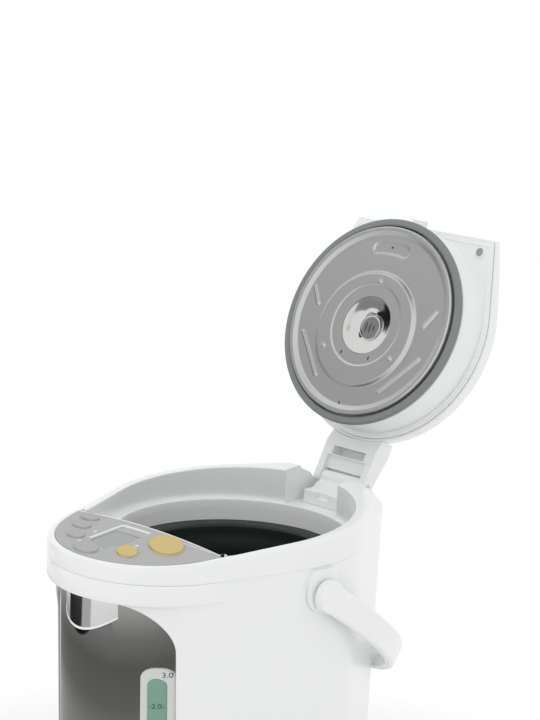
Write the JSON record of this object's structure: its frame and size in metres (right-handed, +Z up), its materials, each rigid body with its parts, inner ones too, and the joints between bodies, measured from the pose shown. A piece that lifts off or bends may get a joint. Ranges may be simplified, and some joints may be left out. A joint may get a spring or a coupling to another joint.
{
  "type": "electric thermo pot",
  "caption": "Electric hot-water dispenser with an open hinged lid, bail handle, sloped key panel, spout over a mirrored front, level gauge and swivel base.",
  "frame": {"origin": "centre of the resting face, under the middle of the mouth", "axes": "+Z up, -Y towards the spout and key panel, +Y towards the lid hinge, +X to the right when seen from behind the spout side"},
  "size_m": [0.2332, 0.3935, 0.4905],
  "materials": {
    "white_gloss": "gloss, slightly warm white",
    "white_satin": "satin white",
    "base_plastic": "satin light grey",
    "panel_grey": "satin metallic grey film",
    "key_grey": "satin grey",
    "key_gold": "satin gold",
    "chrome": "polished",
    "mirror_front": "polished dark mirror",
    "stainless": "satin",
    "pot_coating": "dark non-stick coating",
    "seal_rubber": "matt mid grey",
    "silicone": "translucent white",
    "foot_rubber": "matt black",
    "lcd_glass": "gloss grey",
    "gauge_green": "gloss green",
    "clear_glass": "clear",
    "steel": "plain",
    "brass_pin": "bright",
    "board": "green solder mask",
    "dark_plastic": "matt dark",
    "mica": "matt"
  },
  "bodies": {
    "base": {"swivel_base": "base_plastic", "base_feet": "foot_rubber", "swivel_retainer": "steel"},
    "pot": {"body_shell": "white_gloss", "nose_hood": "white_gloss", "base_cover": "base_plastic", "base_screws": "steel", "collar": "white_gloss", "hinge_block": "white_satin", "hinge_pins": "steel", "front_mirror": "mirror_front", "spout_shroud": "chrome", "spout_nozzle": "silicone", "delivery_pipe": "silicone", "gauge_frame": "panel_grey", "gauge_window": "gauge_green", "gauge_tube": "clear_glass", "gauge_elbows": "silicone", "power_inlet": "dark_plastic", "inlet_pins": "brass_pin", "side_bosses": "white_gloss", "handle_pivots": "steel", "panel_plate": "panel_grey", "lcd_window": "lcd_glass", "lcd_module": "dark_plastic", "led_lenses": "white_satin", "control_pcb": "board", "key_mat": "silicone", "inner_pot": "pot_coating", "pot_gasket": "silicone", "heat_shield": "steel", "main_heater": "mica", "warm_heater": "mica", "thermostat": "steel", "thermal_fuse": "steel", "pump_housing": "white_satin", "pump_motor": "dark_plastic", "pump_inlet": "silicone", "power_pcb": "board"},
    "lid": {"lid_shell": "white_gloss", "hinge_arm": "white_satin", "lid_tray": "white_satin", "lid_seal": "seal_rubber", "inner_lid": "stainless", "vent_dome": "stainless", "lid_screws": "steel", "latch_spring": "steel"},
    "handle": {"handle": "white_gloss"},
    "timer_key": {"timer_key": "key_grey"},
    "temperature_key": {"temperature_key": "key_grey"},
    "descale_key": {"descale_key": "key_grey"},
    "reheat_key": {"reheat_key": "key_grey"},
    "unlock_key": {"unlock_key": "key_gold"},
    "dispense_key": {"dispense_key": "key_gold"},
    "rotor": {"pump_rotor": "white_satin"},
    "magnet": {"drive_magnet": "dark_plastic"},
    "check_ball": {"outlet_check_ball": "steel"},
    "vent_ball": {"vent_ball": "steel"},
    "latch": {"lid_latch": "white_satin"},
    "lever": {"latch_lever": "white_gloss"}
  },
  "joints": [
    {"name": "base_swivel", "type": "hinge", "parent": "base", "child": "pot", "pos_m": [0, 0, 0.01], "axis": [0, 0, 1], "continuous": true},
    {"name": "lid_hinge", "type": "hinge", "parent": "pot", "child": "lid", "pos_m": [0, 0.1285, 0.2817], "axis": [1, 0, 0], "range_deg": [0, 114.55]},
    {"name": "handle_swing", "type": "hinge", "parent": "pot", "child": "handle", "pos_m": [0, -0.011, 0.241], "axis": [1, 0, 0], "range_deg": [0, 46]},
    {"name": "timer_key_press", "type": "slide", "parent": "pot", "child": "timer_key", "axis": [0.0771, 0.1193, -0.9899], "range_m": [0, 0.001], "stiffness_N_per_m": 400},
    {"name": "temperature_key_press", "type": "slide", "parent": "pot", "child": "temperature_key", "axis": [0.0663, 0.1193, -0.9906], "range_m": [0, 0.001], "stiffness_N_per_m": 400},
    {"name": "descale_key_press", "type": "slide", "parent": "pot", "child": "descale_key", "axis": [0.0493, 0.1193, -0.9916], "range_m": [0, 0.001], "stiffness_N_per_m": 400},
    {"name": "reheat_key_press", "type": "slide", "parent": "pot", "child": "reheat_key", "axis": [0.0117, 0.1193, -0.9928], "range_m": [0, 0.001], "stiffness_N_per_m": 400},
    {"name": "unlock_key_press", "type": "slide", "parent": "pot", "child": "unlock_key", "axis": [-0.0308, 0.1193, -0.9924], "range_m": [0, 0.001], "stiffness_N_per_m": 400},
    {"name": "dispense_key_press", "type": "slide", "parent": "pot", "child": "dispense_key", "axis": [-0.0503, 0.1193, -0.9916], "range_m": [0, 0.001], "stiffness_N_per_m": 400},
    {"name": "magnet_spin", "type": "hinge", "parent": "pot", "child": "magnet", "pos_m": [0, -0.05, 0.02], "axis": [0, 0, 1], "continuous": true},
    {"name": "rotor_spin", "type": "hinge", "parent": "pot", "child": "rotor", "pos_m": [0, -0.05, 0.03], "axis": [0, 0, 1], "continuous": true},
    {"name": "check_ball_lift", "type": "slide", "parent": "pot", "child": "check_ball", "axis": [0, 0, 1], "range_m": [0, 0.02]},
    {"name": "vent_ball_lift", "type": "slide", "parent": "lid", "child": "vent_ball", "axis": [0, 0.9096, -0.4155], "range_m": [0, 0.003]},
    {"name": "lever_pull", "type": "hinge", "parent": "lid", "child": "lever", "pos_m": [0, 0.2206, 0.46071], "axis": [-1, 0, 0], "range_deg": [0, 20]},
    {"name": "latch_slide", "type": "slide", "parent": "lid", "child": "latch", "axis": [0, -0.4155, -0.9096], "range_m": [0, 0.004], "stiffness_N_per_m": 100, "deforming": ["latch_spring"]}
  ],
  "couplings": [
    {"joint": "rotor_spin", "follows": "magnet_spin", "ratio": 1},
    {"joint": "lever_pull", "follows": "latch_slide", "rad_per_m": 87.266}
  ]
}
